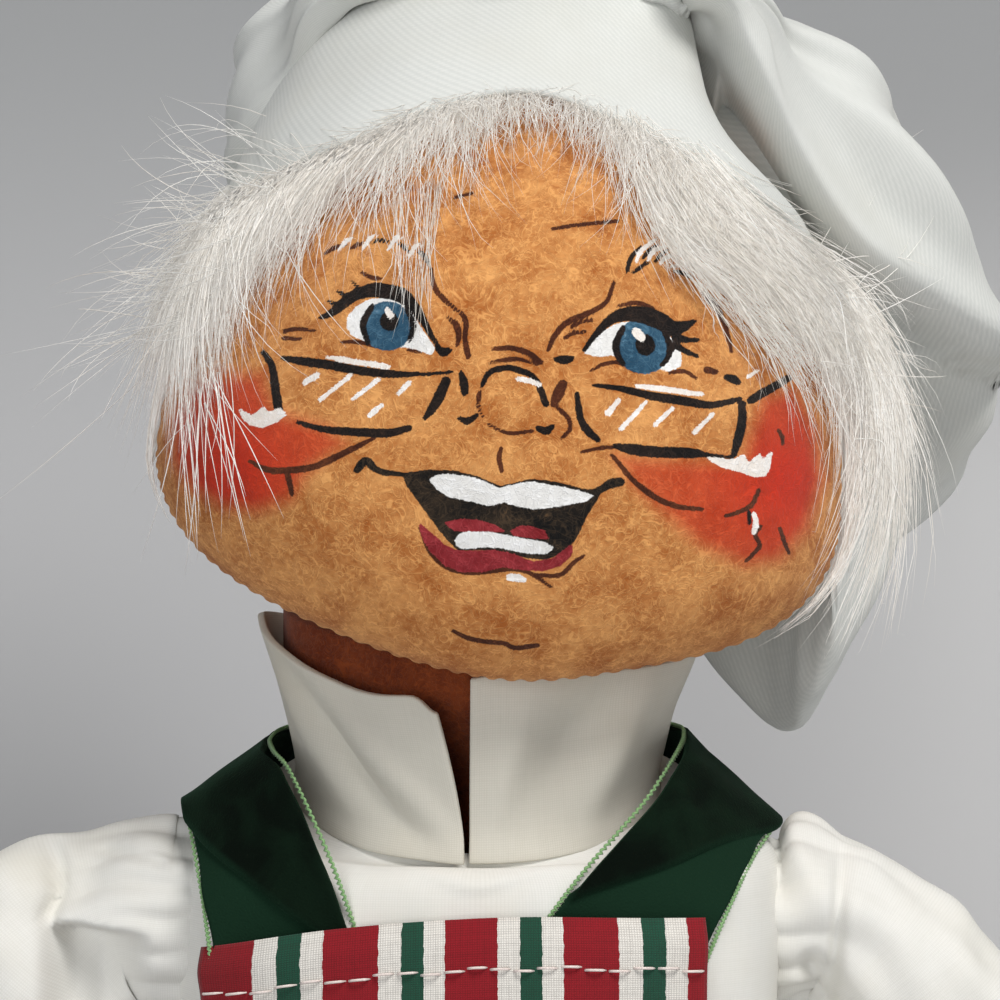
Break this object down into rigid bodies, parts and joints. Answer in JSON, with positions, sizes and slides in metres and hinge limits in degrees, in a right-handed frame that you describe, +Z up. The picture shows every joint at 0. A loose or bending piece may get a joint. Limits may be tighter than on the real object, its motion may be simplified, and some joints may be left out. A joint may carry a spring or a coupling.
{
  "type": "felt christmas doll",
  "caption": "Standing felt doll dressed as a baker, with a bendable wire armature, fur hair, floppy cook's hat, blouse, striped bib apron, trousers and shoes; a posable festive decoration.",
  "frame": {"origin": "on the floor under the middle of the doll's outline box", "axes": "+Z up through the head, -Y to the front where the doll looks, +X to the doll's left"},
  "size_m": [0.2432, 0.1096, 0.3607],
  "materials": {
    "skin_felt": "soft wool felt, matt, tan",
    "white_fur": "long white fur pile",
    "hat_twill": "white cotton twill, matt",
    "blouse_cotton": "white plain-weave cotton, matt",
    "green_velvet": "dark green velvet ribbon, short pile",
    "striped_cotton": "printed cotton in red, white and green stripes",
    "red_felt": "red felt, matt",
    "black_felt": "black felt, matt",
    "sole_felt": "stiffened dark felt",
    "muslin": "unbleached muslin",
    "fibre_fill": "white fibre stuffing",
    "steel_wire": "bare annealed wire"
  },
  "bodies": {
    "torso": {"torso_skin": "muslin", "torso_stuffing": "fibre_fill", "spine_wire": "steel_wire", "trouser_seat": "red_felt", "blouse_bodice": "blouse_cotton", "collar_left": "blouse_cotton", "collar_right": "blouse_cotton", "apron_bib": "striped_cotton", "apron_waistband": "green_velvet", "apron_skirt": "striped_cotton", "neck_ribbon": "green_velvet", "bow_knot": "green_velvet", "bow_left_loop": "green_velvet", "bow_left_tail": "green_velvet", "bow_right_loop": "green_velvet", "bow_right_tail": "green_velvet"},
    "neck": {"neck_felt": "skin_felt"},
    "neck_core": {"neck_wire": "steel_wire"},
    "head": {"face_felt": "skin_felt", "head_back_felt": "skin_felt", "head_stuffing": "fibre_fill", "head_wire": "steel_wire", "fur_wig": "white_fur", "fur_fringe": "white_fur", "hat_band": "hat_twill", "hat_crown": "hat_twill"},
    "left_shoulder": {"left_shoulder_wire": "steel_wire"},
    "left_upper_arm": {"left_upper_sleeve": "blouse_cotton", "left_upper_arm_felt": "skin_felt", "left_upper_arm_wire": "steel_wire"},
    "left_forearm": {"left_lower_sleeve": "blouse_cotton", "left_forearm_felt": "skin_felt", "left_forearm_wire": "steel_wire", "left_cuff": "blouse_cotton", "left_hand": "skin_felt"},
    "left_thigh": {"left_thigh_trouser": "red_felt", "left_thigh_felt": "muslin", "left_thigh_wire": "steel_wire"},
    "left_shin": {"left_shin_trouser": "red_felt", "left_shin_felt": "muslin", "left_shin_wire": "steel_wire", "left_shoe_upper": "black_felt", "left_shoe_sole": "sole_felt"},
    "right_shoulder": {"right_shoulder_wire": "steel_wire"},
    "right_upper_arm": {"right_upper_sleeve": "blouse_cotton", "right_upper_arm_felt": "skin_felt", "right_upper_arm_wire": "steel_wire"},
    "right_forearm": {"right_lower_sleeve": "blouse_cotton", "right_forearm_felt": "skin_felt", "right_forearm_wire": "steel_wire", "right_cuff": "blouse_cotton", "right_hand": "skin_felt"},
    "right_thigh": {"right_thigh_trouser": "red_felt", "right_thigh_felt": "muslin", "right_thigh_wire": "steel_wire"},
    "right_shin": {"right_shin_trouser": "red_felt", "right_shin_felt": "muslin", "right_shin_wire": "steel_wire", "right_shoe_upper": "black_felt", "right_shoe_sole": "sole_felt"}
  },
  "joints": [
    {"name": "neck_turn", "type": "hinge", "parent": "torso", "child": "neck", "pos_m": [0, -0.0005, 0.2591], "axis": [0, 0, 1], "range_deg": [-30, 30]},
    {"name": "head_tilt", "type": "hinge", "parent": "neck", "child": "neck_core", "pos_m": [0, -0.0005, 0.2591], "axis": [0, 1, 0], "range_deg": [-8, 3]},
    {"name": "head_nod", "type": "hinge", "parent": "neck_core", "child": "head", "pos_m": [0, -0.0005, 0.2591], "axis": [1, 0, 0], "range_deg": [-8, 3]},
    {"name": "left_shoulder_swing", "type": "hinge", "parent": "torso", "child": "left_shoulder", "pos_m": [0.05025, -0.0005, 0.2336], "axis": [-1, 0, 0], "range_deg": [-25, 95]},
    {"name": "left_shoulder_raise", "type": "hinge", "parent": "left_shoulder", "child": "left_upper_arm", "pos_m": [0.05025, -0.0005, 0.2336], "axis": [0, -1, 0], "range_deg": [-12, 45]},
    {"name": "left_elbow_bend", "type": "hinge", "parent": "left_upper_arm", "child": "left_forearm", "pos_m": [0.0811, -0.0005, 0.19683], "axis": [-0.766, 0, -0.6428], "range_deg": [-38, 45]},
    {"name": "left_hip_swing", "type": "hinge", "parent": "torso", "child": "left_thigh", "pos_m": [0.019, -0.0005, 0.1306], "axis": [-1, 0, 0], "range_deg": [-15, 85]},
    {"name": "left_knee_bend", "type": "hinge", "parent": "left_thigh", "child": "left_shin", "pos_m": [0.019, -0.0005, 0.0806], "axis": [1, 0, 0], "range_deg": [0, 85]},
    {"name": "right_shoulder_swing", "type": "hinge", "parent": "torso", "child": "right_shoulder", "pos_m": [-0.05025, -0.0005, 0.2336], "axis": [-1, 0, 0], "range_deg": [-25, 95]},
    {"name": "right_shoulder_raise", "type": "hinge", "parent": "right_shoulder", "child": "right_upper_arm", "pos_m": [-0.05025, -0.0005, 0.2336], "axis": [0, 1, 0], "range_deg": [-12, 45]},
    {"name": "right_elbow_bend", "type": "hinge", "parent": "right_upper_arm", "child": "right_forearm", "pos_m": [-0.0811, -0.0005, 0.19683], "axis": [-0.766, 0, 0.6428], "range_deg": [-38, 45]},
    {"name": "right_hip_swing", "type": "hinge", "parent": "torso", "child": "right_thigh", "pos_m": [-0.019, -0.0005, 0.1306], "axis": [-1, 0, 0], "range_deg": [-15, 85]},
    {"name": "right_knee_bend", "type": "hinge", "parent": "right_thigh", "child": "right_shin", "pos_m": [-0.019, -0.0005, 0.0806], "axis": [1, 0, 0], "range_deg": [0, 85]}
  ]
}
